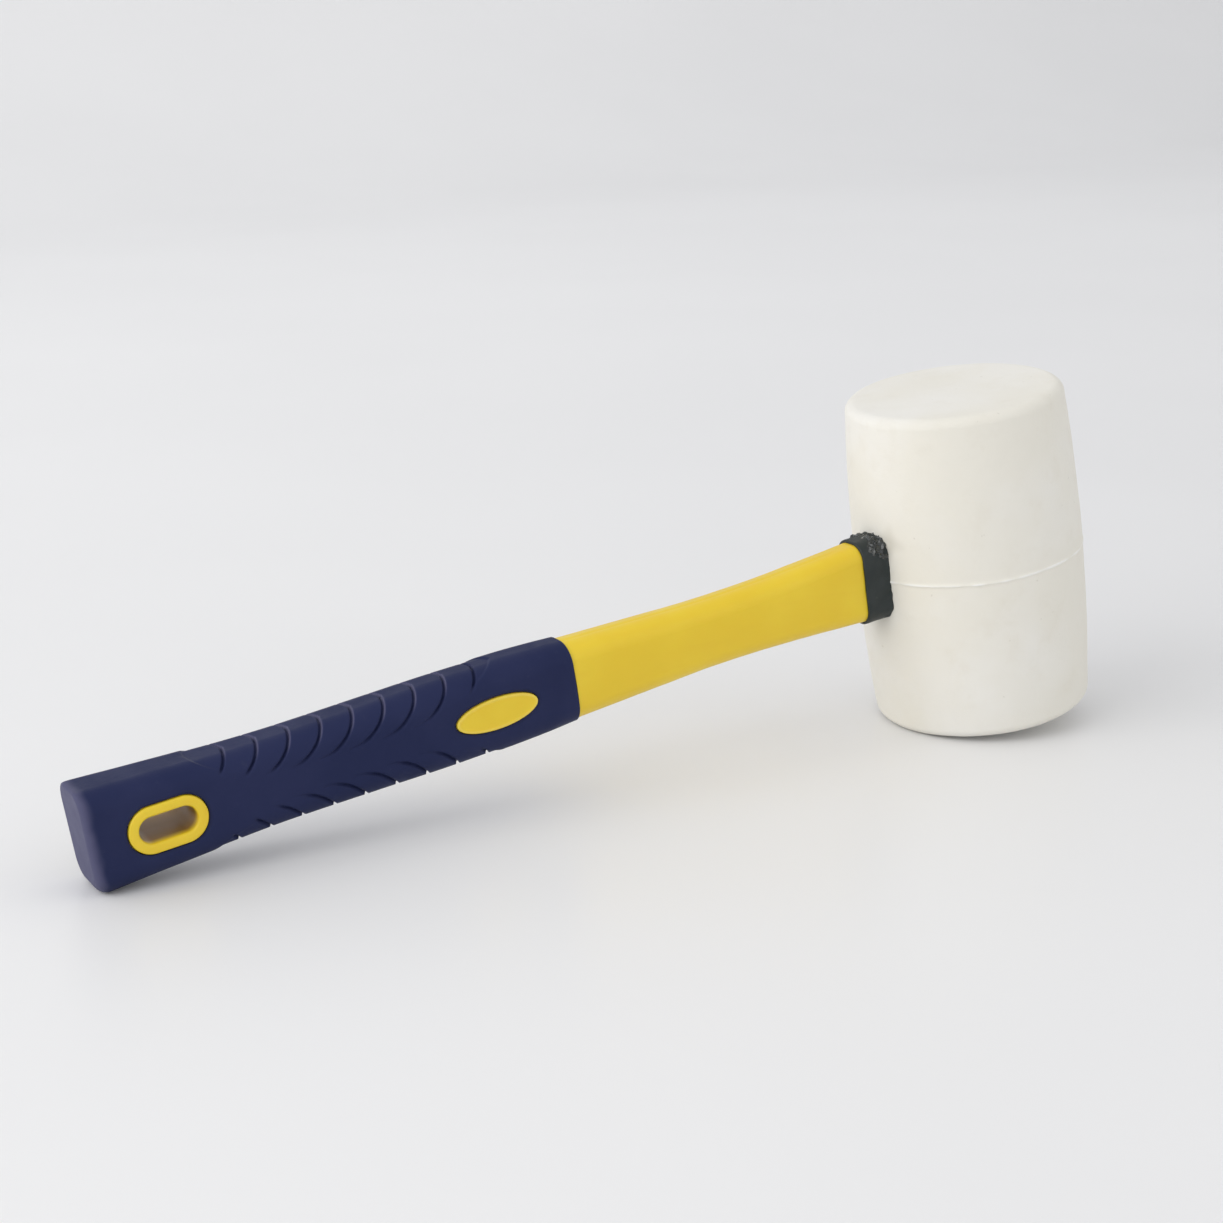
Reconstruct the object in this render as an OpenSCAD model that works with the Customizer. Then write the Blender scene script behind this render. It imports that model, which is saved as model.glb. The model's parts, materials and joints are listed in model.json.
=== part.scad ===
// Rubber mallet with a two-shot moulded handle on a fibreglass core.
// It lies as it would on a bench: the lower rim of the head and the lower edge of the butt both
// touch Z = 0, and the origin is the bottom centre of the bounding box. The handle points to -X.
// Every module below is drawn square on the mallet's own axes (head axis along Z, handle along -X,
// origin where the two axes cross), and at_rest() then tips the whole mallet onto the bench.

/* [Head] */
// Length of the head from struck face to struck face
head_length = 100; // [80:1:130]
// Diameter of the head at its middle
head_diameter = 69.2; // [60:0.2:76]
// How much smaller the radius is at the struck faces than at the middle
barrel_bulge = 2.1; // [0.5:0.1:4]
// Rounding of the rims of the struck faces
rim_rounding = 3.5; // [2:0.5:9]
// How far the moulding line round the middle stands proud
parting_line_height = 0.4; // [0.2:0.1:0.8]
// How far the middle of the head lies below the axis of the handle
head_drop = 0.9; // [0:0.1:2]

/* [Handle] */
// Distance from the head's axis to the butt end of the handle
handle_reach = 284; // [270:1:320]
// Distance from the head's axis to the front edge of the soft grip
grip_front = 141.3; // [136:0.1:146]
// Thickness of the soft grip over the handle
grip_thickness = 2.4; // [1.6:0.1:3]
// Thickness of the grip's end wall at the butt
butt_wall = 4; // [3:0.5:6]
// Rounding of the butt's edge
butt_rounding = 3; // [1:0.5:4]
// Diameter of the fibreglass core
core_diameter = 9; // [7:0.5:9.5]

/* [Hang hole and badges] */
// Distance from the head's axis to the middle of the hang hole
slot_position = 262.3; // [255:0.1:266]
// Length of the hang hole
slot_length = 15.8; // [12:0.1:18]
// Height of the hang hole
slot_height = 7.2; // [6:0.1:8]
// Width of the yellow ring round the hang hole
ring_width = 2.9; // [2:0.1:4]
// Distance from the head's axis to the middle of the oval badge
badge_position = 166.7; // [160:0.1:172]
// Length of the oval badge
badge_length = 25.2; // [18:0.1:28]
// Height of the oval badge
badge_height = 9; // [6:0.1:11]
// How far the ring and the badge stand out of the grip
badge_stand = 0.25; // [0.1:0.05:0.5]

/* [Neck bush] */
// Height of the dark bush that fills the eye of the head
bush_height = 25.9; // [25:0.1:28]
// Width of the bush across the handle
bush_width = 13.8; // [13.4:0.1:16]
// Distance from the head's axis to the bush's outer end
bush_reach = 42.5; // [38:0.1:46]
// Wall of the bush
bush_wall = 0.85; // [0.6:0.05:1.1]

/* [Hidden] */
$fn = 96;

// Barrel head: one large arc for the side, tangent to the rim arcs
half_length = head_length / 2;
head_radius = head_diameter / 2;
barrel_arc = (half_length ^ 2 + barrel_bulge ^ 2) / (2 * barrel_bulge);
arc_centre = head_radius - barrel_arc;
rim_z = half_length - rim_rounding;
rim_x = arc_centre + sqrt((barrel_arc - rim_rounding) ^ 2 - rim_z ^ 2);
tangent_z = rim_z * barrel_arc / (barrel_arc - rim_rounding);

// Bush and the tenon of the handle inside it
bush_corner = 3.6;
tenon_height = bush_height - 2 * bush_wall;
tenon_width = bush_width - 2 * bush_wall;
tenon_corner = bush_corner - bush_wall;
tenon_end = 26;
potting_end = 33;
core_end = 24;
core_back = 246;
bead_height = 0.9;
bead_start = 36;
bead_lowest = 7;

// Handle sections as [distance from the head's axis, half height, half width, corner radius]
neck_sections = [
    [bush_reach, tenon_height / 2, tenon_width / 2, tenon_corner],
    [60, 11.05, 6.4, 3.7],
    [78, 10.25, 6.6, 4.2],
    [97, 10.05, 6.8, 4.8],
    [118, 10.7, 7.1, 5.3],
    [grip_front, 11.5, 7.3, 5.8]];
grip_sections = [
    [grip_front, 12, 7.9, 6.2],
    [150, 12.5, 8.3, 6.4],
    [162, 12.9, 8.7, 6.8],
    [182, 13, 9.2, 7],
    [205, 12.6, 9.6, 7],
    [230, 12.35, 9.75, 6.8],
    [250, 12.85, 9.85, 6.3],
    [handle_reach, 14.4, 10, 5.6]];
jacket_end = handle_reach - butt_wall;
butt_half_height = along(grip_sections, handle_reach - butt_rounding, 1);

// The mallet rests on two round edges, the head's lower rim and the butt's lower edge. The tilt
// is the slope of the line that is tangent to both.
lower_rim_z = rim_z + head_drop;
rim_to_butt_x = handle_reach - butt_rounding - rim_x;
rim_to_butt_z = butt_half_height - butt_rounding - lower_rim_z;
rest_tilt = asin((rim_rounding - butt_rounding) / norm([rim_to_butt_x, rim_to_butt_z]))
            - atan2(rim_to_butt_z, rim_to_butt_x);
lift = lower_rim_z * cos(rest_tilt) + rim_x * sin(rest_tilt) + rim_rounding;
x_most = rim_x * cos(rest_tilt) + lower_rim_z * sin(rest_tilt) + rim_rounding;
x_least = -(handle_reach - butt_rounding) * cos(rest_tilt)
          - (butt_half_height - butt_rounding) * sin(rest_tilt) - butt_rounding;

// Cubic interpolation in column k of a table of sections, at distance d from the head's axis
function slope_at(rows, i, k) =
    let (a = rows[max(i - 1, 0)], b = rows[min(i + 1, len(rows) - 1)])
    (b[k] - a[k]) / (b[0] - a[0]);
function span_of(rows, d, i = 0) = (i >= len(rows) - 2 || d <= rows[i + 1][0]) ? i : span_of(rows, d, i + 1);
function along(rows, d, k) =
    let (i = span_of(rows, d), a = rows[i], b = rows[i + 1], w = b[0] - a[0], t = (d - a[0]) / w)
    a[k] * (1 + 2 * t) * (1 - t) ^ 2 + slope_at(rows, i, k) * w * t * (1 - t) ^ 2
    + b[k] * t ^ 2 * (3 - 2 * t) + slope_at(rows, i + 1, k) * w * t ^ 2 * (t - 1);

// One rounded-rectangle ring of points at distance d, drawn smaller all round by inset
corner_steps = 6;
function ring_points(d, section, inset) =
    let (h = section[0] - inset, w = section[1] - inset, r = max(section[2] - inset, 0.3))
    [for (corner = [0:3], step = [0:corner_steps])
        let (a = 90 * corner + 90 * step / corner_steps,
             sy = (corner == 0 || corner == 3) ? 1 : -1,
             sz = corner < 2 ? 1 : -1)
        [-d, sy * (w - r) + r * cos(a), sz * (h - r) + r * sin(a)]];
function section_at(rows, d) = [along(rows, d, 1), along(rows, d, 2), along(rows, d, 3)];

// Closed skin over rings that all have the same number of points
module skin(rings) {
    n = len(rings[0]);
    last = len(rings) - 1;
    sides = [for (i = [0:last - 1], j = [0:n - 1])
        let (a = i * n + j, b = i * n + (j + 1) % n)
        each [[a, b + n, b], [a, a + n, b + n]]];
    polyhedron(
        points = [for (ring = rings) each ring],
        faces = concat(sides, [[for (j = [0:n - 1]) j]], [[for (j = [n - 1:-1:0]) last * n + j]]));
}

// Bar along the handle from one X to another, with a section drawn as [Z, Y]
module bar(from, to) {
    translate([to, 0, 0]) rotate([0, -90, 0]) linear_extrude(to - from) children();
}

module rounded_rectangle(height, width, corner) {
    square([height - 2 * corner, width], center = true);
    square([height, width - 2 * corner], center = true);
    for (x = [-1, 1], y = [-1, 1])
        translate([x * (height / 2 - corner), y * (width / 2 - corner)]) circle(corner);
}

module racetrack(length, height) {
    square([length - height, height], center = true);
    for (side = [-1, 1]) translate([side * (length - height) / 2, 0]) circle(height / 2);
}

// Solid right across the handle at distance d from the head's axis
module across(d) {
    translate([-d, 0, 0]) rotate([90, 0, 0]) linear_extrude(head_diameter, center = true) children();
}

module barrel() {
    translate([0, 0, -head_drop]) rotate_extrude($fn = 180) {
        intersection() {
            translate([arc_centre, 0]) circle(barrel_arc, $fn = 1440);
            translate([0, -tangent_z]) square([head_radius, 2 * tangent_z]);
        }
        translate([0, -half_length]) square([rim_x, head_length]);
        for (side = [-1, 1]) translate([0, side * rim_z]) intersection() {
            translate([rim_x, 0]) circle(rim_rounding);
            translate([0, -rim_rounding]) square([head_radius, 2 * rim_rounding]);
        }
    }
}

module parting_line() {
    bead = 1.5 * parting_line_height;
    translate([0, 0, -head_drop]) rotate_extrude($fn = 180)
        translate([head_radius - bead + parting_line_height, 0]) circle(bead, $fn = 24);
}

module bush_outline() { rounded_rectangle(bush_height, bush_width, bush_corner); }
module bush_outside(from, to) { bar(from, to) bush_outline(); }
module bush_inside(from, to) { bar(from, to) rounded_rectangle(tenon_height, tenon_width, tenon_corner); }

// Struck head of white rubber, with a through eye for the handle
module rubber_head() {
    color("ivory") difference() {
        union() {
            barrel();
            parting_line();
        }
        bush_outside(-head_diameter, head_diameter);
    }
}

// Dark rubber bush between the head and the handle; its lip shows as the collar
module eye_bush() {
    color("darkslategray") difference() {
        union() {
            bush_outside(-bush_reach, 0);
            intersection() {
                bush_outside(-1, head_diameter);
                barrel();
            }
        }
        bush_inside(-bush_reach - 1, head_diameter);
    }
}

// Adhesive squeezed out over the top of the bush where it meets the head
module adhesive_bead() {
    color("black") difference() {
        bar(-bead_start, -rim_x) difference() {
            rounded_rectangle(bush_height + 2 * bead_height, bush_width + 2 * bead_height,
                              bush_corner + bead_height);
            bush_outline();
            translate([-bush_height, -bush_width]) square([bush_height + bead_lowest, 2 * bush_width]);
        }
        barrel();
    }
}

// Hard epoxy that closes the eye behind the end of the handle
module eye_potting() {
    color("dimgray") bush_inside(tenon_end, potting_end);
}

// Pultruded fibreglass rod that runs from the head to just short of the hang hole
module core_rod() {
    translate([-core_back, 0, 0]) rotate([0, 90, 0]) cylinder(d = core_diameter, h = core_back + core_end);
}
module fibreglass_core() {
    color("wheat") core_rod();
}

// Everything of the yellow moulding before the core and the hang hole are taken out
module jacket_body() {
    neck_steps = 14;
    inner_steps = 14;
    skin([for (i = [0:neck_steps])
        let (d = grip_front + (bush_reach - grip_front) * i / neck_steps)
        ring_points(d, section_at(neck_sections, d), 0)]);
    skin([for (i = [0:inner_steps])
        let (d = jacket_end + (grip_front - jacket_end) * i / inner_steps)
        ring_points(d, section_at(grip_sections, d), grip_thickness)]);
    bush_inside(-bush_reach, tenon_end);
    intersection() {
        grip_skin(-badge_stand);
        union() {
            across(slot_position) racetrack(slot_length + 2 * ring_width, slot_height + 2 * ring_width);
            across(badge_position) scale([1, badge_height / badge_length]) circle(d = badge_length);
        }
    }
}

// Yellow polypropylene handle moulded round the core. Its ring round the hang hole and its oval
// badges reach the surface through windows in the grip.
module handle_jacket() {
    color("gold") difference() {
        jacket_body();
        core_rod();
        across(slot_position) racetrack(slot_length, slot_height);
    }
}

// Outer shape of the grip, drawn smaller all round by inset, with a rounded edge at the butt
module grip_skin(inset = 0) {
    long_steps = 18;
    round_steps = 4;
    rounded_from = handle_reach - butt_rounding;
    skin(concat(
        [for (i = [0:round_steps])
            let (a = 90 * (1 - i / round_steps), d = rounded_from + butt_rounding * sin(a))
            ring_points(d, section_at(grip_sections, d), inset + butt_rounding * (1 - cos(a)))],
        [for (i = [1:long_steps])
            let (d = rounded_from + (grip_front - rounded_from) * i / long_steps)
            ring_points(d, section_at(grip_sections, d), inset)]));
}

// Soft grip moulded over the rear half of the handle, closed at the butt
module grip_sleeve() {
    color("midnightblue") difference() {
        grip_skin();
        jacket_body();
    }
}

module at_rest() {
    translate([-(x_least + x_most) / 2, 0, lift]) rotate([0, -rest_tilt, 0]) children();
}

at_rest() rubber_head();
at_rest() eye_bush();
at_rest() adhesive_bead();
at_rest() eye_potting();
at_rest() fibreglass_core();
at_rest() handle_jacket();
at_rest() grip_sleeve();
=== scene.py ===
"""Looks of the rubber mallet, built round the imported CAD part.

Shapes are drawn in millimetres on the mallet's own axes (X along the handle towards the head, Z
along the head, origin where the two axes cross). to_row() turns them into metres in the row frame.
"""

import json
import math

import bmesh
import bpy
import numpy as np
from mathutils import Matrix, Vector, noise


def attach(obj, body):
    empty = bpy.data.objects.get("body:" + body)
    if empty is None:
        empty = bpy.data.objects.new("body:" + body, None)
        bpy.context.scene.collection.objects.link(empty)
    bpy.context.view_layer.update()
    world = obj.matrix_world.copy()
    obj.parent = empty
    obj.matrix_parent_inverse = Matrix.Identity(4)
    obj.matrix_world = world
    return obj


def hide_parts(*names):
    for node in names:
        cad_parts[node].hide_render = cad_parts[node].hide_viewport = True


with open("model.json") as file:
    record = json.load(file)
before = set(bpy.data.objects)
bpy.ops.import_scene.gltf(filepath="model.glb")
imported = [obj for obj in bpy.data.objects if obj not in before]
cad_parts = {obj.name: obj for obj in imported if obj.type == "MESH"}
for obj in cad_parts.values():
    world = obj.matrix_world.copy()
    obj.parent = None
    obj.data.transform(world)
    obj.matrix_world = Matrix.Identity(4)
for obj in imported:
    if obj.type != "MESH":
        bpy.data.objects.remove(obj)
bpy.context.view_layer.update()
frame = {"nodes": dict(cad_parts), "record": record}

MM = 0.001

# ---------------------------------------------------------------- the mallet's own axes
MOUNTS = {mount["name"]: mount for mount in frame["record"]["mounts"]}


def mount_place(name):
    return np.array(MOUNTS[name]["pos_m"], float)


LOWER_FACE = mount_place("lower_struck_face")
UPPER_FACE = mount_place("upper_struck_face")
HANG_SLOT = mount_place("hang_slot")
HEAD_LENGTH = np.linalg.norm(UPPER_FACE - LOWER_FACE) / MM
UP = (UPPER_FACE - LOWER_FACE) / (HEAD_LENGTH * MM)
ALONG = np.array([UP[2], 0, -UP[0]])
ACROSS = np.array([0.0, 1.0, 0.0])
HEAD_CENTRE = (LOWER_FACE + UPPER_FACE) / 2
ORIGIN = HANG_SLOT + ALONG * np.dot(HEAD_CENTRE - HANG_SLOT, ALONG)
HEAD_DROP = np.dot(ORIGIN - HEAD_CENTRE, UP) / MM
SLOT_X = np.dot(HANG_SLOT - ORIGIN, ALONG) / MM


def to_row(points):
    return ORIGIN + MM * (np.asarray(points, float) @ np.array([ALONG, ACROSS, UP]))


# ---------------------------------------------------------------- sizes shared with the CAD part
HEAD_RADIUS = 34.6
BARREL_BULGE = 2.1
RIM_ROUNDING = 3.5
PARTING_LINE_HEIGHT = 0.4
HANDLE_REACH = 284
GRIP_FRONT = 141.3
GRIP_THICKNESS = 2.4
BUTT_WALL = 4
CORE_RADIUS = 4.5
CORE_FROM, CORE_TO = -246, 24
SLOT_LENGTH, SLOT_HEIGHT = 15.8, 7.2
RING_WIDTH = 2.9
BADGE_X = -166.7
BADGE_LENGTH, BADGE_HEIGHT = 25.2, 9
BADGE_STAND = 0.25
# Half height, half width and corner radius of the bush, and of the handle's tenon inside it
BUSH = (12.95, 6.9, 5.4)
TENON = (12.1, 6.05, 4.55)
BUSH_REACH = 42.5
TENON_END = 26

# Handle sections: distance from the head's axis, half height, half width, corner radius
NECK_SECTIONS = np.array([
    [BUSH_REACH, *TENON],
    [60, 11.05, 6.4, 5],
    [78, 10.25, 6.6, 5.3],
    [97, 10.05, 6.8, 5.5],
    [118, 10.7, 7.1, 5.7],
    [GRIP_FRONT, 11.5, 7.3, 5.8]])
GRIP_SECTIONS = np.array([
    [GRIP_FRONT, 12, 7.9, 6.2],
    [150, 12.5, 8.3, 6.4],
    [162, 12.9, 8.7, 6.8],
    [182, 13, 9.2, 7],
    [205, 12.6, 9.6, 7],
    [230, 12.35, 9.75, 6.8],
    [250, 12.85, 9.85, 6.3],
    [HANDLE_REACH, 14.4, 10, 5.6]])

# The barrel's side is one large arc, tangent to the rim arcs
HALF_LENGTH = HEAD_LENGTH / 2
BARREL_ARC = (HALF_LENGTH ** 2 + BARREL_BULGE ** 2) / (2 * BARREL_BULGE)
ARC_CENTRE = HEAD_RADIUS - BARREL_ARC
RIM_Z = HALF_LENGTH - RIM_ROUNDING
RIM_X = ARC_CENTRE + math.sqrt((BARREL_ARC - RIM_ROUNDING) ** 2 - RIM_Z ** 2)


# ---------------------------------------------------------------- helpers for shapes
def section_at(rows, distance):
    """Half height, half width and corner radius at each distance, as smooth curves through rows."""
    distance = np.clip(np.atleast_1d(distance).astype(float), rows[0, 0], rows[-1, 0])
    i = np.clip(np.searchsorted(rows[:, 0], distance) - 1, 0, len(rows) - 2)
    before = np.maximum(np.arange(len(rows)) - 1, 0)
    after = np.minimum(np.arange(len(rows)) + 1, len(rows) - 1)
    slopes = (rows[after, 1:] - rows[before, 1:]) / (rows[after, :1] - rows[before, :1])
    width = (rows[i + 1, :1] - rows[i, :1])
    t = (distance[:, None] - rows[i, :1]) / width
    return (rows[i, 1:] * (1 + 2 * t) * (1 - t) ** 2 + slopes[i] * width * t * (1 - t) ** 2
            + rows[i + 1, 1:] * t ** 2 * (3 - 2 * t) + slopes[i + 1] * width * t ** 2 * (t - 1))


def unit_outline(flat, corner, cheek):
    """A rounded rectangle with that many steps along its top, corners and cheeks.

    Each point is (cy, cz, ny, nz): which corner circles it lies between, and its outward normal.
    """
    points = []
    flats = {0: (flat, 0, 1), 1: (cheek, -1, 0), 2: (flat, 0, -1), 3: (cheek, 1, 0)}
    signs = [(1, 1), (-1, 1), (-1, -1), (1, -1)]
    for quarter, (sy, sz) in enumerate(signs):
        for step in range(corner + 1):
            angle = math.radians(90) * (quarter + step / corner)
            points.append((sy, sz, math.cos(angle), math.sin(angle)))
        steps, ny, nz = flats[quarter]
        next_sy, next_sz = signs[(quarter + 1) % 4]
        for step in range(1, steps):
            t = step / steps
            points.append((sy + (next_sy - sy) * t, sz + (next_sz - sz) * t, ny, nz))
    return np.array(points)


def place_outline(outline, x, height, width, corner, crown=0.0):
    """Rings of points of a unit outline at each x, as an array (rings, points, 3)."""
    x, height, width, corner = (np.asarray(v, float).reshape(-1, 1) for v in (x, height, width, corner))
    cy, cz, ny, nz = outline.T
    bow = crown * (1 - cz ** 2) * np.abs(ny) + crown * (1 - cy ** 2) * np.abs(nz)
    y = cy * (width - corner) + (corner + bow) * ny
    z = cz * (height - corner) + (corner + bow) * nz
    return np.stack(np.broadcast_arrays(x, y, z), axis=-1)


def smooth_step(low, high, value):
    """0 below low, 1 above high, smooth between."""
    t = np.clip((value - low) / (high - low), 0, 1)
    return t * t * (3 - 2 * t)


def quarter_turn(steps):
    """That many angles from 0 to 90 degrees."""
    return np.linspace(0, math.pi / 2, steps)


def ripple(points, size, seed, waves=14):
    """Smooth, repeatable unevenness between about -1 and 1, with features of about that size."""
    rng = np.random.default_rng(seed)
    directions = rng.normal(size=(waves, 3))
    directions /= np.linalg.norm(directions, axis=1, keepdims=True)
    pitch = size * rng.uniform(0.7, 1.6, waves)
    phase = rng.uniform(0, 2 * math.pi, waves)
    flat = np.asarray(points, float).reshape(-1, 3)
    total = np.sin(flat @ (directions * (2 * math.pi / pitch[:, None])).T + phase).sum(axis=1)
    return (total / math.sqrt(waves * 2)).reshape(np.shape(points)[:-1])


def racetrack_distance(x, z, length, height):
    """Distance outwards from a racetrack's outline, negative inside it."""
    return np.hypot(np.maximum(np.abs(x) - (length - height) / 2, 0), z) - height / 2


def ellipse_distance(x, z, length, height):
    """Nearly the distance outwards from an ellipse's outline, negative inside it."""
    a, b = length / 2, height / 2
    f = np.hypot(x / a, z / b)
    gradient = np.hypot(x / a ** 2, z / b ** 2) / np.maximum(f, 1e-6)
    return (f - 1) / np.maximum(gradient, 1e-6)


def barrel_radius(z):
    """Radius of the head's side at height z above the head's own middle."""
    return ARC_CENTRE + np.sqrt(BARREL_ARC ** 2 - np.asarray(z, float) ** 2)


def grip_half_width(x, z):
    """Half width of the grip's skin at a point of its cheek."""
    height, width, corner = section_at(GRIP_SECTIONS, -np.ravel(x)).T
    over = np.maximum(np.abs(np.ravel(z)) - (height - corner), 0)
    return (width - corner + np.sqrt(np.maximum(corner ** 2 - over ** 2, 0))).reshape(np.shape(x))


# ---------------------------------------------------------------- helpers for meshes
def grid_faces(rings, count, closed=False):
    """Quads between rings of count points; closed joins the last ring to the first."""
    i, j = np.meshgrid(np.arange(rings if closed else rings - 1), np.arange(count), indexing="ij")
    here, there = i * count, (i + 1) % rings * count
    after = (j + 1) % count
    return np.stack([here + j, here + after, there + after, there + j], axis=-1).reshape(-1, 4)


def mesh_object(name, rings, closed=False):
    """A closed skin over rings (rings, points, 3), capped at both ends unless closed."""
    count = rings.shape[1]
    faces = grid_faces(len(rings), count, closed).tolist()
    if not closed:
        faces.append(list(range(count))[::-1])
        faces.append(list(range((len(rings) - 1) * count, len(rings) * count)))
    mesh = bpy.data.meshes.new(name)
    mesh.from_pydata(to_row(rings.reshape(-1, 3)).tolist(), [], faces)
    turned_out = bmesh.new()
    turned_out.from_mesh(mesh)
    bmesh.ops.recalc_face_normals(turned_out, faces=turned_out.faces)
    turned_out.to_mesh(mesh)
    turned_out.free()
    piece = bpy.data.objects.new(name, mesh)
    bpy.context.scene.collection.objects.link(piece)
    return piece


def cut_out(piece, other):
    """Cuts other out of piece, and removes other."""
    modifier = piece.modifiers.new("cut", "BOOLEAN")
    modifier.operation = "DIFFERENCE"
    modifier.solver = "MANIFOLD"
    modifier.object = other
    graph = bpy.context.evaluated_depsgraph_get()
    mesh = bpy.data.meshes.new_from_object(piece.evaluated_get(graph))
    piece.modifiers.clear()
    piece.data = mesh
    bpy.data.objects.remove(other)


def join_to(piece, other):
    """Adds other's closed shell to piece's mesh, and removes other."""
    joined = bmesh.new()
    joined.from_mesh(piece.data)
    joined.from_mesh(other.data)
    joined.to_mesh(piece.data)
    joined.free()
    bpy.data.objects.remove(other)


def prism_across(name, centre_x, outline):
    """A prism right across the handle over an outline of (x, z) points round centre_x."""
    half_width = 30
    points = np.array([(centre_x + x, 0, z) for x, z in outline])
    rings = np.stack([points - [0, half_width, 0], points + [0, half_width, 0]])
    return mesh_object(name, rings)


def racetrack_outline(length, height, steps=40):
    """(x, z) points of two half circles of that many steps, with straight sides between them."""
    half, radius = (length - height) / 2, height / 2
    points = []
    for side in (1, -1):
        for step in range(steps + 1):
            angle = math.radians(-90 + 180 * step / steps)
            points.append((side * (half + radius * math.cos(angle)), side * radius * math.sin(angle)))
    return points


def ellipse_outline(length, height, steps=160):
    """(x, z) points of an ellipse."""
    angles = np.linspace(0, 2 * math.pi, steps, endpoint=False)
    return [(length / 2 * math.cos(a), height / 2 * math.sin(a)) for a in angles]


def finish_piece(piece, node, material, sharp_angle=40):
    """Smooth shading, material, and the piece's place in the frame."""
    piece.data.materials.clear()
    piece.data.materials.append(material)
    piece.data.polygons.foreach_set("use_smooth", [True] * len(piece.data.polygons))
    piece.data.set_sharp_from_angle(angle=math.radians(sharp_angle))
    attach(piece, "root")
    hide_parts(node)


# ---------------------------------------------------------------- materials
class Finish:
    """A node material: a Principled shader with procedural textures in object space."""

    def __init__(self, name, color, roughness):
        self.material = bpy.data.materials.new(name)
        self.material.use_nodes = True
        self.tree = self.material.node_tree
        self.shader = self.tree.nodes["Principled BSDF"]
        self.space = self.tree.nodes.new("ShaderNodeTexCoord").outputs["Object"]
        self.color = color
        self.set("Roughness", roughness)

    def set(self, socket, value):
        self.shader.inputs[socket].default_value = value

    def link(self, socket, to_socket):
        self.tree.links.new(socket, to_socket)

    def noise(self, size_mm, detail=3.0, roughness=0.5, stretch=(1, 1, 1)):
        """Noise between 0 and 1 with features of about size_mm, squeezed by stretch."""
        mapping = self.tree.nodes.new("ShaderNodeMapping")
        mapping.inputs["Scale"].default_value = stretch
        self.link(self.space, mapping.inputs["Vector"])
        node = self.tree.nodes.new("ShaderNodeTexNoise")
        node.inputs["Scale"].default_value = 1000 / size_mm
        node.inputs["Detail"].default_value = detail
        node.inputs["Roughness"].default_value = roughness
        self.link(mapping.outputs["Vector"], node.inputs["Vector"])
        return node.outputs["Fac"]

    def mask(self, value, low, high):
        """0 below low, 1 above high, smooth between."""
        node = self.tree.nodes.new("ShaderNodeMapRange")
        node.interpolation_type = "SMOOTHSTEP"
        node.inputs["From Min"].default_value = low
        node.inputs["From Max"].default_value = high
        self.link(value, node.inputs["Value"])
        return node.outputs["Result"]

    def scale(self, value, factor, add=0.0):
        """value times factor, plus add."""
        node = self.tree.nodes.new("ShaderNodeMath")
        node.operation = "MULTIPLY_ADD"
        self.link(value, node.inputs[0])
        node.inputs[1].default_value = factor
        node.inputs[2].default_value = add
        return node.outputs[0]

    def attribute(self, name):
        """A number stored at the mesh's points, by set_attribute."""
        node = self.tree.nodes.new("ShaderNodeAttribute")
        node.attribute_name = name
        return node.outputs["Fac"]

    def tint(self, factor, color):
        """Mixes color over what has been painted so far, by factor."""
        node = self.tree.nodes.new("ShaderNodeMix")
        node.data_type = "RGBA"
        if isinstance(self.color, tuple):
            node.inputs["A"].default_value = (*self.color, 1)
        else:
            self.link(self.color, node.inputs["A"])
        node.inputs["B"].default_value = (*color, 1)
        self.link(factor, node.inputs["Factor"])
        self.color = node.outputs["Result"]

    def roughness(self, value, low, high):
        """Roughness that follows value from low, at 0, to high, at 1."""
        self.link(self.scale(value, high - low, low), self.shader.inputs["Roughness"])

    def bump(self, *layers):
        """Layers of (height, depth in mm)."""
        normal = None
        for height, depth_mm in layers:
            node = self.tree.nodes.new("ShaderNodeBump")
            node.inputs["Strength"].default_value = 1
            node.inputs["Distance"].default_value = depth_mm * MM
            self.link(height, node.inputs["Height"])
            if normal is not None:
                self.link(normal, node.inputs["Normal"])
            normal = node.outputs["Normal"]
        self.link(normal, self.shader.inputs["Normal"])

    def done(self):
        self.link(self.color, self.shader.inputs["Base Color"])
        return self.material


def white_rubber():
    finish = Finish("white_rubber", (0.80, 0.775, 0.70), 0.8)
    clouds = finish.noise(38, 3)
    finish.tint(finish.mask(clouds, 0.35, 0.75), (0.835, 0.82, 0.775))
    blotches = finish.noise(9, 4, 0.6)
    finish.tint(finish.scale(finish.mask(blotches, 0.5, 0.8), 0.35), (0.74, 0.70, 0.61))
    specks = finish.mask(finish.noise(2.6, 2, 0.5), 0.735, 0.79)
    finish.tint(finish.scale(specks, 0.35), (0.48, 0.44, 0.37))
    finish.tint(finish.attribute("flash"), (0.88, 0.87, 0.84))
    # A grey-beige patch by the collar: partly an adhesive smear on the rubber, partly painted shade of a
    # slight dent there.
    finish.tint(finish.attribute("smear_and_painted_shade"), (0.56, 0.53, 0.45))
    finish.roughness(blotches, 0.72, 0.92)
    finish.set("Sheen Weight", 0.12)
    finish.set("Sheen Roughness", 0.6)
    finish.set("Specular IOR Level", 0.35)
    grain = finish.noise(0.5, 3, 0.6)
    dimples = finish.noise(4, 3, 0.55)
    finish.bump((dimples, 0.12), (grain, 0.03))
    return finish.done()


def bush_rubber():
    finish = Finish("bush_rubber", (0.016, 0.023, 0.023), 0.5)
    clouds = finish.noise(5, 3)
    finish.tint(finish.mask(clouds, 0.4, 0.7), (0.024, 0.031, 0.032))
    dust = finish.mask(finish.noise(1.3, 4, 0.65), 0.6, 0.8)
    finish.tint(finish.scale(dust, 0.3), (0.08, 0.085, 0.078))
    finish.set("Specular IOR Level", 0.38)
    finish.roughness(clouds, 0.38, 0.6)
    finish.bump((finish.noise(2.5, 3), 0.1), (finish.noise(0.4, 2), 0.02))
    return finish.done()


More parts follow.
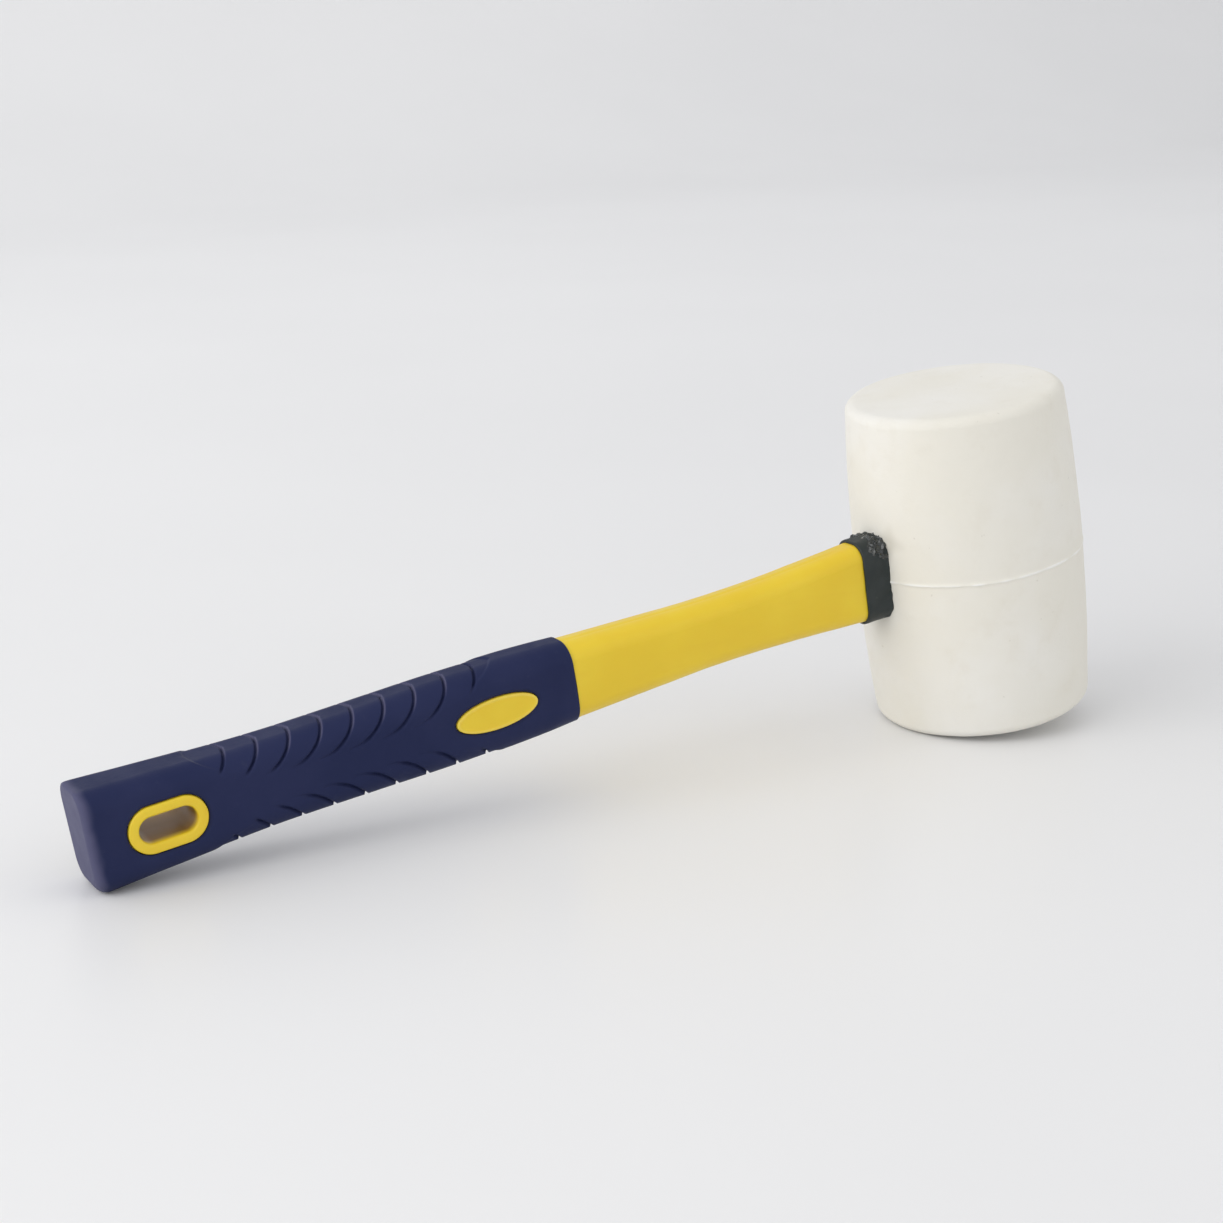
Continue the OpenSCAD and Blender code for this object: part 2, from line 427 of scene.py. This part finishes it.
def adhesive():
    finish = Finish("adhesive", (0.014, 0.018, 0.018), 0.2)
    film = finish.noise(2.6, 2, 0.5)
    finish.tint(finish.scale(finish.mask(film, 0.5, 0.75), 0.5), (0.10, 0.105, 0.10))
    finish.roughness(film, 0.10, 0.35)
    finish.set("Coat Weight", 0.5)
    finish.set("Coat Roughness", 0.15)
    finish.bump((finish.noise(1.6, 2, 0.5), 0.10))
    return finish.done()


def potting():
    finish = Finish("potting", (0.055, 0.055, 0.050), 0.3)
    finish.tint(finish.mask(finish.noise(6, 3), 0.4, 0.7), (0.085, 0.085, 0.075))
    finish.roughness(finish.noise(3, 2), 0.2, 0.45)
    finish.bump((finish.noise(4, 2), 0.1))
    return finish.done()


def fibreglass():
    finish = Finish("fibreglass", (0.72, 0.66, 0.48), 0.45)
    strands = finish.noise(0.6, 3, 0.6, stretch=(0.03, 1, 1))
    finish.tint(finish.mask(strands, 0.4, 0.7), (0.82, 0.78, 0.62))
    finish.roughness(strands, 0.35, 0.6)
    finish.bump((strands, 0.05))
    return finish.done()


def yellow_plastic():
    finish = Finish("yellow_plastic", (0.80, 0.56, 0.020), 0.36)
    clouds = finish.noise(26, 3)
    finish.tint(finish.mask(clouds, 0.35, 0.75), (0.84, 0.615, 0.030))
    flow = finish.noise(7, 3, 0.6, stretch=(0.25, 1, 1))
    finish.tint(finish.scale(finish.mask(flow, 0.5, 0.8), 0.3), (0.76, 0.49, 0.020))
    scuffs = finish.mask(finish.noise(5.5, 4, 0.65, stretch=(0.5, 1, 1.6)), 0.70, 0.80)
    finish.tint(finish.scale(scuffs, 0.35), (0.36, 0.23, 0.03))
    # Painted highlight: the edge attribute makes the yellow paler along the badge's rounded rim.
    finish.tint(finish.attribute("edge"), (0.86, 0.66, 0.12))
    # Painted shade: the hang slot's inner walls are darkened to a deep brown.
    finish.tint(finish.attribute("slot_painted_shade"), (0.27, 0.125, 0.008))
    finish.roughness(flow, 0.28, 0.5)
    finish.set("Subsurface Weight", 0.12)
    finish.set("Subsurface Radius", (1.0, 0.45, 0.08))
    finish.set("Subsurface Scale", 0.002)
    finish.bump((finish.noise(9, 2), 0.10), (finish.noise(0.7, 3), 0.012))
    return finish.done()


def navy_grip():
    finish = Finish("navy_grip", (0.017, 0.023, 0.072), 0.55)
    clouds = finish.noise(20, 3)
    finish.tint(finish.mask(clouds, 0.35, 0.7), (0.021, 0.027, 0.080))
    dust = finish.mask(finish.noise(3.2, 5, 0.7), 0.58, 0.8)
    finish.tint(finish.scale(dust, 0.25), (0.05, 0.055, 0.10))
    # Painted highlight: paler purple on the butt's rounded edge and along the head-side edges of the
    # grooves.
    finish.tint(finish.attribute("painted_edge_highlight"), (0.15, 0.145, 0.24))
    finish.set("Specular IOR Level", 0.1)
    finish.roughness(finish.noise(6, 4, 0.6), 0.38, 0.62)
    finish.bump((finish.noise(1.1, 3), 0.03), (finish.noise(0.35, 2), 0.02))
    return finish.done()


# ---------------------------------------------------------------- pieces
def set_attribute(piece, name, values):
    attribute = piece.data.attributes.new(name, "FLOAT", "POINT")
    attribute.data.foreach_set("value", np.asarray(values, np.float32).ravel())


def vertices_of(piece):
    """A mesh's vertices on the mallet's own axes, in millimetres."""
    points = np.zeros(len(piece.data.vertices) * 3)
    piece.data.vertices.foreach_get("co", points)
    return (points.reshape(-1, 3) - ORIGIN) @ np.array([ALONG, ACROSS, UP]).T / MM


def head_profile():
    """(radius, height) from the middle of the lower face to the middle of the upper one."""
    step = 0.6
    fine_zone, fine_step = 1.6, 0.2
    face = [(r, -HALF_LENGTH) for r in np.linspace(0.4, RIM_X - step, 36)]
    rim = []
    rim_ends_at = math.atan2(-RIM_Z, RIM_X - ARC_CENTRE)
    for a in np.linspace(-math.pi / 2, rim_ends_at, 22):
        rim.append((RIM_X + RIM_ROUNDING * math.cos(a), -RIM_Z + RIM_ROUNDING * math.sin(a)))
    side = [(barrel_radius(z), z) for z in np.linspace(rim[-1][1] + step, -fine_zone - fine_step, 62)]
    middle = [(barrel_radius(z), z) for z in np.linspace(-fine_zone, 0, 17)]
    lower = face + rim + side + middle
    return np.array(lower + [(r, -z) for r, z in lower[-2::-1]])


def rubber_head():
    """The barrel, with uneven moulded surfaces, a thin flash at the moulding line, and its eye."""
    profile = head_profile()
    turns = 400
    angles = np.linspace(0, 2 * math.pi, turns, endpoint=False)
    radius, height = profile[:, :1], profile[:, 1:]
    rings = np.stack([radius * np.cos(angles), radius * np.sin(angles),
                      np.broadcast_to(height, (len(profile), turns)) - HEAD_DROP], axis=-1)

    # Flash at the moulding line: a low uneven ridge that wanders a little up and down
    ridge_radius, ridge_width = 34, 0.52
    outwards = np.stack([np.cos(angles), np.sin(angles), 0 * angles], axis=-1)
    round_points = ridge_radius * outwards
    wander = 0.22 * ripple(round_points, 22, 3)
    strength = np.clip(0.72 + 0.35 * ripple(round_points, 6, 4), 0.25, 1)
    ridge = np.exp(-((height - wander) / ridge_width) ** 2) * strength
    dents = 0.10 * (1 + ripple(rings, 30, 5)) + 0.035 * (1 + ripple(rings, 7, 6))
    dents *= 1 - 0.5 * ridge
    is_face = smooth_step(RIM_Z - 1, HALF_LENGTH, np.abs(height))
    rings += outwards * ((ridge * PARTING_LINE_HEIGHT - dents) * (1 - is_face))[..., None]
    rings[..., 2] -= np.sign(height) * is_face * dents
    piece = mesh_object("rubber_head", rings)

    eye_clearance, eye_reach = 0.02, 60
    eye_size = np.array(BUSH) + eye_clearance
    eye = place_outline(unit_outline(12, 14, 24), [-eye_reach, eye_reach], *eye_size)
    cut_out(piece, mesh_object("eye", eye))

    points = vertices_of(piece)
    own_height = points[:, 2] + HEAD_DROP
    radial = np.hypot(points[:, 0], points[:, 1])
    side_ends_at = HALF_LENGTH - 1
    proud = radial - barrel_radius(np.clip(own_height, -side_ends_at, side_ends_at))
    flash = smooth_step(0.03, 0.25, proud) * (np.abs(own_height) < 1.5)
    set_attribute(piece, "flash", flash)
    # Darker patch beside the collar's top: partly adhesive smear, partly painted shade of a slight dent
    # in the rubber.
    smear_shade_y, smear_shade_z = -7.6, 11.5
    from_smear_shade = np.hypot(points[:, 1] - smear_shade_y, points[:, 2] - smear_shade_z) + 1.6 * ripple(points, 7, 8)
    smear_and_painted_shade = 0.55 * (1 - smooth_step(1.5, 5.5, from_smear_shade)) * (points[:, 0] < 0)
    set_attribute(piece, "smear_and_painted_shade", smear_and_painted_shade)
    finish_piece(piece, "rubber_head", white_rubber(), 50)


def barrel_x(y, z):
    """X of the barrel's surface on the handle's side (taken positive) over a point (y, z)."""
    return np.sqrt(np.maximum(barrel_radius(z + HEAD_DROP) ** 2 - y ** 2, 0))


def eye_bush():
    """The dark bush: a collar with a soft front edge and a ragged lip where it meets the head."""
    outline = unit_outline(26, 30, 56)
    theta = np.linspace(0, 2 * math.pi, len(outline), endpoint=False)
    loop_radius = 12
    loop = np.stack([np.cos(theta), np.sin(theta), 0 * theta], axis=-1) * loop_radius
    outer = place_outline(outline, 0, *BUSH)[0]
    inner = place_outline(outline, 0, *TENON)[0]
    normal = np.stack([0 * theta, outline[:, 2], outline[:, 3]], axis=-1)
    near = -barrel_x(outer[:, 1], outer[:, 2])
    far = barrel_x(outer[:, 1], outer[:, 2])
    ragged = np.clip(0.16 + 0.13 * ripple(loop, 3.2, 21) + 0.12 * ripple(loop, 1.4, 22), 0.02, 0.5)
    front = -BUSH_REACH + 0.12 + 0.10 * ripple(loop, 8, 23)
    edge = 0.45

    def ring(base, x, offset=0.0):
        """The base outline at x, moved outwards by offset; both may differ from point to point."""
        points = base + normal * np.reshape(offset, (-1, 1))
        points[:, 0] = x
        return points

    rings = [ring(inner, front + 0.25, 0), ring(inner, front, 0.1)]
    for a in quarter_turn(6):
        rings.append(ring(outer, front + edge * (1 - math.cos(a)), -edge * (1 - math.sin(a))))
    for t in np.linspace(0.08, 1, 26):
        x = (front + edge) * (1 - t) + near * t
        uneven = 0.05 * ripple(ring(outer, x), 5, 24)
        lip = ragged * smooth_step(0.72, 0.97, t)
        rings.append(ring(outer, x, uneven + lip))
    rings.append(ring(outer, near + 0.25, 0.5 * ragged))
    rings.append(ring(outer, near + 0.6, 0))
    rings.append(ring(outer, far - 0.3, 0))
    rings.append(ring(outer, far - 0.05, -0.15))
    rings.append(ring(inner, far - 0.05, 0.1))
    rings.append(ring(inner, far - 0.4, 0))
    piece = mesh_object("eye_bush", np.array(rings), closed=True)
    finish_piece(piece, "eye_bush", bush_rubber(), 55)


def adhesive_bead():
    """Adhesive squeezed out over the top of the collar, dried into a crumpled, glossy skin."""
    outline = unit_outline(40, 44, 60)
    lowest, sunk_by = 6.5, 0.12
    outer = place_outline(outline, 0, *BUSH)[0]
    above = outer[:, 2] > lowest
    start = np.flatnonzero(above & ~np.roll(above, 1))[0]
    order = np.roll(np.arange(len(outline)), -start)
    order = order[above[order]]
    base, normals = outer[order], outline[order][:, 2:]
    along = np.linspace(0, 1, len(order))
    taper = np.minimum(smooth_step(0, 0.06, along), 1 - smooth_step(0.94, 1, along))
    head_x = -barrel_x(base[:, 1], base[:, 2])
    spread = 4.4 + 1.1 * np.sin(9 * along) + 0.9 * np.sin(23 * along + 1)
    elsewhere = Vector((7, 3, 1))
    top, bottom = [], []
    for v in np.linspace(0, 1, 30):
        x = head_x + 0.15 - v * spread * (0.45 + 0.55 * taper)
        rows = np.stack([x, base[:, 1], base[:, 2]], axis=-1)
        folds = np.array([abs(noise.noise(Vector(p) * 0.42)) for p in rows])
        pleats = np.array([abs(noise.noise(Vector(p) * 0.9 + elsewhere)) for p in rows])
        cover = smooth_step(0, 0.2, 1 - v) * taper
        height = cover * np.clip(0.95 - 2.3 * folds - 1.1 * pleats, 0.04, 0.95)
        lifted = rows.copy()
        lifted[:, 1:] += normals * height[:, None]
        sunk = rows.copy()
        sunk[:, 1:] -= normals * sunk_by
        top.append(lifted)
        bottom.append(sunk)
    rings = np.concatenate([np.array(top), np.array(bottom)[::-1]])
    piece = mesh_object("adhesive_bead", rings.transpose(1, 0, 2))
    finish_piece(piece, "adhesive_bead", adhesive(), 35)


def shrink_to_middle(ring, x, steps=10):
    """Rings that close an end: copies of ring, scaled down to almost nothing, at that x."""
    middle = ring.mean(axis=0)
    rings = []
    for t in np.linspace(1, 0.02, steps)[1:]:
        scaled = middle + (ring - middle) * t
        scaled[:, 0] = x
        rings.append(scaled)
    return rings


def handle_body():
    """Tenon, neck and the inner body under the grip, as one closed skin with the core's bore."""
    outline = unit_outline(20, 24, 40)
    tenon = place_outline(outline, [TENON_END - 0.01, 10, -20, -BUSH_REACH + 0.6], *TENON)
    distance = np.linspace(BUSH_REACH, GRIP_FRONT - 0.05, 190)
    section = section_at(NECK_SECTIONS, distance)
    crown = 0.22 * smooth_step(BUSH_REACH, BUSH_REACH + 14, distance).reshape(-1, 1)
    neck = place_outline(outline, -distance, *section.T, crown=crown)
    uneven = 0.05 * ripple(neck, 18, 31) + 0.02 * ripple(neck, 6, 32)
    neck[..., 1:] += outline[:, 2:] * uneven[..., None]
    inner_distance = np.linspace(GRIP_FRONT, HANDLE_REACH - BUTT_WALL, 80)
    inner_section = section_at(GRIP_SECTIONS, inner_distance) - GRIP_THICKNESS
    inner = place_outline(outline, -inner_distance, *inner_section.T)
    rings = shrink_to_middle(tenon[0], TENON_END)[::-1] + list(tenon) + list(neck) + list(inner)
    rings += shrink_to_middle(inner[-1], -(HANDLE_REACH - BUTT_WALL))
    piece = mesh_object("handle_jacket", np.array(rings))

    core_steps = 72
    angles = np.linspace(0, 2 * math.pi, core_steps, endpoint=False)
    circle = np.stack([0 * angles, CORE_RADIUS * np.cos(angles), CORE_RADIUS * np.sin(angles)], axis=-1)
    core = np.stack([circle + [CORE_FROM, 0, 0], circle + [CORE_TO, 0, 0]])
    cut_out(piece, mesh_object("core_bore", core))
    # The opening's edge is hidden under the middle of the ring
    opening = racetrack_outline(SLOT_LENGTH + RING_WIDTH, SLOT_HEIGHT + RING_WIDTH)
    cut_out(piece, prism_across("slot_opening", SLOT_X, opening))
    return piece


def cheek_loop(centre_x, xz, sink, side):
    """Loop of (x, z) points round centre_x, standing proud of one cheek (side -1 or 1), less sink."""
    x = centre_x + xz[:, 0]
    y = grip_half_width(x, xz[:, 1]) + BADGE_STAND - sink
    return np.stack([x, side * y, xz[:, 1]], axis=-1)


def slot_ring():
    """The yellow ring round the hang hole, from cheek to cheek, with softly rounded faces."""
    inner_edge, outer_edge, bulge, hidden = 0.85, 0.6, 0.06, 3.5
    outline = np.array(racetrack_outline(SLOT_LENGTH, SLOT_HEIGHT, 60))
    half = (SLOT_LENGTH - SLOT_HEIGHT) / 2
    centre_x = np.clip(outline[:, 0], -half, half)
    outwards = np.stack([outline[:, 0] - centre_x, outline[:, 1]], axis=-1)
    outwards /= np.linalg.norm(outwards, axis=1, keepdims=True)

    # (outset from the hole's edge, sink below the face)
    profile = [(inner_edge * (1 - math.cos(a)), inner_edge * (1 - math.sin(a))) for a in quarter_turn(9)]
    face_width = RING_WIDTH - inner_edge - outer_edge
    for t in np.linspace(0, 1, 8)[1:-1]:
        profile.append((inner_edge + face_width * t, -bulge * math.sin(math.pi * t)))
    for a in quarter_turn(8):
        profile.append((RING_WIDTH - outer_edge * (1 - math.sin(a)), outer_edge * (1 - math.cos(a))))
    profile.append((RING_WIDTH, hidden))

    front = [cheek_loop(SLOT_X, outline + outwards * outset, sink, -1) for outset, sink in profile]
    back = [cheek_loop(SLOT_X, outline + outwards * outset, sink, 1) for outset, sink in profile]
    inner_walls = [back[0] * (1 - t) + front[0] * t for t in np.linspace(0.12, 0.88, 9)]
    return mesh_object("slot_ring", np.array(front + back[::-1] + inner_walls), closed=True)


def badge_boss():
    """The yellow oval that shows on both cheeks, flat, with a slightly raised rounded rim."""
    rim_width, rim_height, edge, hidden = 0.75, 0.10, 0.4, 4.0
    outline = np.array(ellipse_outline(BADGE_LENGTH, BADGE_HEIGHT))
    normal = np.stack([outline[:, 0] / BADGE_LENGTH ** 2, outline[:, 1] / BADGE_HEIGHT ** 2], axis=-1)
    normal /= np.linalg.norm(normal, axis=1, keepdims=True)

    def side_rings(side):
        """Rings from the middle of one cheek's oval to its edge and down out of sight."""
        face = outline - normal * (edge + rim_width)
        rings = [cheek_loop(BADGE_X, face * t, rim_height, side) for t in np.linspace(0.03, 1, 14)]
        for t in np.linspace(0, 1, 7)[1:-1]:
            rim = outline - normal * (edge + rim_width * (1 - t))
            rings.append(cheek_loop(BADGE_X, rim, rim_height * (1 - smooth_step(0, 0.7, t)), side))
        for a in quarter_turn(7):
            rounding = outline - normal * edge * (1 - math.sin(a))
            rings.append(cheek_loop(BADGE_X, rounding, edge * (1 - math.cos(a)), side))
        rings.append(cheek_loop(BADGE_X, outline, hidden, side))
        return rings

    return mesh_object("badge_boss", np.array(side_rings(-1) + side_rings(1)[::-1]))


def handle_jacket():
    """The yellow moulding, with its ring and badges joined on."""
    piece = handle_body()
    join_to(piece, slot_ring())
    join_to(piece, badge_boss())
    x, y, z = vertices_of(piece).T
    # The edge attribute is a painted highlight: paler yellow along the badge's rounded rim.
    rim_from_edge = 0.4
    from_rim = np.abs(ellipse_distance(x - BADGE_X, z, BADGE_LENGTH, BADGE_HEIGHT) + rim_from_edge)
    on_badge = (np.abs(x - BADGE_X) < BADGE_LENGTH) & (x < -GRIP_FRONT - 1)
    set_attribute(piece, "edge", 0.5 * (1 - smooth_step(0.1, 0.7, from_rim)) * on_badge)
    # Painted shade inside the hang slot: the yellow darkens to brown deeper in, where little light
    # reaches.
    in_slot = 1 - smooth_step(0.1, 0.5, racetrack_distance(x - SLOT_X, z, SLOT_LENGTH, SLOT_HEIGHT))
    depth = grip_half_width(x, z) - np.abs(y)
    set_attribute(piece, "slot_painted_shade", 0.9 * in_slot * smooth_step(0.3, 2.6, depth))
    finish_piece(piece, "handle_jacket", yellow_plastic(), 45)


# Moulded grooves: nine arcs on the upper half and nine mirrored on the lower half
GROOVE_COUNT = 9
GROOVE_FIRST_X = -244.0
GROOVE_PITCH = 9.15
GROOVE_ARC = 12.3
GROOVE_ARC_HEIGHT = 16.0
GROOVE_WIDTH = 0.40
GROOVE_DEPTH = 0.95

# Sunken panels that hold the grooves, and how their pattern shifts per mm inwards from the cheek
PANEL_MIDDLE, PANEL_HALF_LENGTH = -209.5, 41.5
PANEL_LOWEST, PANEL_RISE = 4.3, 8.2
PANEL_DEPTH = 0.42
PATTERN_PLANE = 9.5
FORWARD_SLANT = 0.2
UPWARD_SLANT = 0.3

# Gap between the grip and the yellow in its windows, and how the grip's skin dips towards it
WINDOW_GAP = 0.32
WINDOW_DIP, WINDOW_DIP_WIDTH = 0.4, 0.45

# The butt's face, and the roundings of its edges
BUTT_END = HANDLE_REACH - 0.45
BUTT_ROUNDING_TOP, BUTT_ROUNDING_BOTTOM = 0.7, 3.8
BUTT_ROUNDING_CHEEK = 2.6


def on_pattern(points):
    """(x, height) of points of the skin in the pattern of grooves, which is laid out on the
    cheek's plane and slants forwards over the rounded top and bottom."""
    inwards = PATTERN_PLANE - np.abs(points[..., 1])
    return points[..., 0] - FORWARD_SLANT * inwards, np.abs(points[..., 2]) + UPWARD_SLANT * inwards


def panel_floor(x):
    """Height in the pattern of the arched border of the sunken, grooved panel."""
    return PANEL_LOWEST + PANEL_RISE * (np.abs(x - PANEL_MIDDLE) / PANEL_HALF_LENGTH) ** 4


def groove_arcs(x, height):
    """For each groove, the distance outwards from its arc, and where the arc is drawn."""
    for k in range(GROOVE_COUNT):
        centre_x = GROOVE_FIRST_X + GROOVE_PITCH * k - GROOVE_ARC
        yield np.hypot(x - centre_x, height - GROOVE_ARC_HEIGHT) - GROOVE_ARC, x > centre_x


def groove_depth(x, height):
    """Depth of the grooves, which fade out at the panel's border."""
    cuts = [drawn * np.exp(-(away / GROOVE_WIDTH) ** 4) for away, drawn in groove_arcs(x, height)]
    return GROOVE_DEPTH * np.max(cuts, axis=0) * smooth_step(-1.2, 1.4, height - panel_floor(x))


def groove_edge_highlight(x, height):
    """1 along the head-side edge of each groove, where a painted highlight makes the grip paler."""
    edges = [drawn * np.exp(-((away - 0.5) / 0.22) ** 2) for away, drawn in groove_arcs(x, height)]
    return np.max(edges, axis=0) * smooth_step(3, 7, height - panel_floor(x))


def grip_relief(points):
    """How far the grip's skin is sunk at its points, for grooves, panels and window edges."""
    across, height = on_pattern(points)
    panel = smooth_step(0, 1.0, height - panel_floor(across)) * smooth_step(4, 14, height)
    relief = PANEL_DEPTH * panel + groove_depth(across, height)
    x, z = points[..., 0], points[..., 2]
    ring = racetrack_distance(x - SLOT_X, z, SLOT_LENGTH + 2 * RING_WIDTH, SLOT_HEIGHT + 2 * RING_WIDTH)
    badge = ellipse_distance(x - BADGE_X, z, BADGE_LENGTH, BADGE_HEIGHT)
    for away in (ring, badge):
        relief += WINDOW_DIP * np.exp(-(np.maximum(away - WINDOW_GAP, 0) / WINDOW_DIP_WIDTH) ** 2)
    return relief


def rounding_inset(radius, from_end):
    """How far a rounded edge of that radius has drawn in at a distance from the end face."""
    into = np.clip(radius - from_end, 0, radius)
    return radius - np.sqrt(radius ** 2 - into ** 2)


def grip_sleeve():
    """The navy grip: sunken grooved panels above and below, windows for the yellow, a soft butt."""
    outline = unit_outline(16, 30, 44)
    spacing, butt_zone = 0.24, 5
    front_edge, front_gap = 0.5, 0.1
    long_part = np.arange(GRIP_FRONT + front_edge, BUTT_END - butt_zone, spacing)
    ease = 1 - np.cos(quarter_turn(26))
    distance = np.concatenate([long_part, BUTT_END - butt_zone * ease[::-1]])
    section = section_at(GRIP_SECTIONS, distance)
    outer = place_outline(outline, -distance, *section.T)
    relief = grip_relief(outer)
    relief += 0.03 * (1 + ripple(outer, 14, 41))
    outer[..., 1:] -= outline[:, 2:] * relief[..., None]

    from_end = (BUTT_END - distance).reshape(-1, 1)
    share = np.clip(outer[..., 2] / section[:, :1], -1, 1)
    cheek_rounding = BUTT_ROUNDING_CHEEK * (1 - 0.15 * share)
    outer[..., 1] *= 1 - rounding_inset(cheek_rounding, from_end) / section[:, 1:2]
    top = rounding_inset(BUTT_ROUNDING_TOP, from_end) * np.maximum(share, 0)
    bottom = rounding_inset(BUTT_ROUNDING_BOTTOM, from_end) * np.maximum(-share, 0)
    outer[..., 2] += bottom - top

    front = []
    front_section = section_at(GRIP_SECTIONS, GRIP_FRONT + front_edge)
    for a in quarter_turn(6)[:-1]:
        x = -GRIP_FRONT - front_gap - front_edge * (1 - math.cos(a))
        inset = front_edge * (1 - math.sin(a))
        front.append(place_outline(outline, x, *(front_section - inset).T)[0])
    inner_distance = np.linspace(HANDLE_REACH - BUTT_WALL, GRIP_FRONT + front_gap, 60)
    inner_section = section_at(GRIP_SECTIONS, inner_distance) - GRIP_THICKNESS + 0.02
    inner = place_outline(outline, -inner_distance, *inner_section.T)
    rings = shrink_to_middle(inner[0], -(HANDLE_REACH - BUTT_WALL))[::-1]
    rings += list(inner) + front + list(outer)
    rings += shrink_to_middle(outer[-1], -BUTT_END, 26)
    piece = mesh_object("grip_sleeve", np.array(rings))

    gap = 2 * WINDOW_GAP
    ring_and_gap = 2 * RING_WIDTH + gap
    window = racetrack_outline(SLOT_LENGTH + ring_and_gap, SLOT_HEIGHT + ring_and_gap, 60)
    cut_out(piece, prism_across("ring_window", SLOT_X, window))
    window = ellipse_outline(BADGE_LENGTH + gap, BADGE_HEIGHT + gap)
    cut_out(piece, prism_across("badge_window", BADGE_X, window))

    points = vertices_of(piece)
    # Painted highlight: a paler band round the butt's rounded edge, and along the head-side edge of each
    # groove.
    from_end = BUTT_END + points[:, 0]
    painted_edge_highlight = 0.5 * (1 - smooth_step(0.3, 3.4, from_end + 0.25 * ripple(points, 3, 44)))
    painted_edge_highlight = np.maximum(painted_edge_highlight, 0.55 * groove_edge_highlight(*on_pattern(points)))
    set_attribute(piece, "painted_edge_highlight", painted_edge_highlight)
    finish_piece(piece, "grip_sleeve", navy_grip(), 60)


def keep_cad_node(name, material):
    """Gives a CAD node that stays in view its material."""
    node = frame["nodes"][name]
    node.data.materials.clear()
    node.data.materials.append(material)


rubber_head()
eye_bush()
adhesive_bead()
handle_jacket()
grip_sleeve()
keep_cad_node("eye_potting", potting())
keep_cad_node("fibreglass_core", fibreglass())


# ---------------------------------------------------------------- stage, light and camera
CAMERA_AZIMUTH, CAMERA_ELEVATION, CAMERA_ROLL = -28.785, 15.35, -0.808
CAMERA_DISTANCE = 0.6664
CAMERA_LENS = 69.67
BEHIND_ORIGIN, LOOKS_AT_HEIGHT = 0.1244, 0.0515


def floor_and_backdrop():
    """A plain pale floor that sweeps up into a backdrop behind the mallet."""
    half_width, depth_front, depth_back, radius, wall = 4.0, 3.0, 1.6, 0.9, 3.0
    profile = [(-depth_front, 0.0), (depth_back, 0.0)]
    for a in quarter_turn(25)[1:]:
        profile.append((depth_back + radius * math.sin(a), radius * (1 - math.cos(a))))
    profile.append((depth_back + radius, wall))
    points = [(side, y, z) for side in (-half_width, half_width) for y, z in profile]
    count = len(profile)
    faces = [(k, k + count, k + count + 1, k + 1) for k in range(count - 1)]
    mesh = bpy.data.meshes.new("floor")
    mesh.from_pydata(points, [], faces)
    mesh.polygons.foreach_set("use_smooth", [True] * len(mesh.polygons))
    floor = bpy.data.objects.new("floor", mesh)
    bpy.context.scene.collection.objects.link(floor)
    finish = Finish("pale_floor", (0.845, 0.845, 0.853), 0.35)
    finish.tint(finish.mask(finish.noise(300, 2), 0.3, 0.7), (0.86, 0.86, 0.868))
    finish.set("Specular IOR Level", 0.3)
    mesh.materials.append(finish.done())


def area_light(name, place, target, size, power, color):
    """A soft rectangular lamp at place, turned towards target."""
    light = bpy.data.lights.new(name, "AREA")
    light.shape = "RECTANGLE"
    light.size, light.size_y = size
    light.energy = power
    light.color = color
    lamp = bpy.data.objects.new(name, light)
    bpy.context.scene.collection.objects.link(lamp)
    lamp.location = place
    lamp.rotation_euler = (Vector(target) - Vector(place)).to_track_quat("-Z", "Y").to_euler()


def lights():
    """Soft light mostly from the butt's side, with a weak fill and a pale surround."""
    middle = (0, 0, 0.04)
    area_light("key", (-1.5, -0.2, 0.9), middle, (1.4, 1.4), 12.5, (1.0, 0.99, 0.975))
    area_light("rim", (-1.3, 0.9, 1.0), middle, (1.4, 1.4), 4, (0.99, 0.99, 1.0))
    area_light("fill", (1.4, -1.0, 0.8), middle, (1.2, 1.2), 3.2, (1.0, 0.98, 0.93))
    area_light("front", (-0.6, -1.8, 0.5), middle, (1.6, 1.6), 2.5, (1.0, 1.0, 1.0))
    area_light("backdrop", (0.4, 0.8, 1.5), (0.6, 2.4, 0.6), (2.4, 0.8), 6, (1.0, 1.0, 1.0))
    world = bpy.data.worlds.new("studio")
    bpy.context.scene.world = world
    world.use_nodes = True
    background = world.node_tree.nodes["Background"]
    background.inputs["Color"].default_value = (0.985, 0.99, 1.0, 1)
    background.inputs["Strength"].default_value = 0.70


def camera():
    """The photograph's viewing angle, from the butt's side and a little above."""
    angles = (CAMERA_AZIMUTH, CAMERA_ELEVATION, CAMERA_ROLL)
    azimuth, elevation, roll = (math.radians(angle) for angle in angles)
    target = Vector((ORIGIN[0] - BEHIND_ORIGIN, 0, LOOKS_AT_HEIGHT))
    back = Vector((math.sin(azimuth) * math.cos(elevation), -math.cos(azimuth) * math.cos(elevation),
                   math.sin(elevation)))
    level_right = (-back).cross(Vector((0, 0, 1))).normalized()
    level_up = level_right.cross(-back)
    right = level_right * math.cos(roll) + level_up * math.sin(roll)
    up = level_up * math.cos(roll) - level_right * math.sin(roll)
    data = bpy.data.cameras.new("camera")
    data.sensor_width = 36
    data.lens = CAMERA_LENS
    data.clip_start = 0.01
    view = bpy.data.objects.new("camera", data)
    bpy.context.scene.collection.objects.link(view)
    rotation = Matrix((right, up, back)).transposed().to_4x4()
    view.matrix_world = Matrix.Translation(target + back * CAMERA_DISTANCE) @ rotation
    bpy.context.scene.camera = view


floor_and_backdrop()
lights()
camera()
bpy.context.scene.view_settings.view_transform = "Standard"
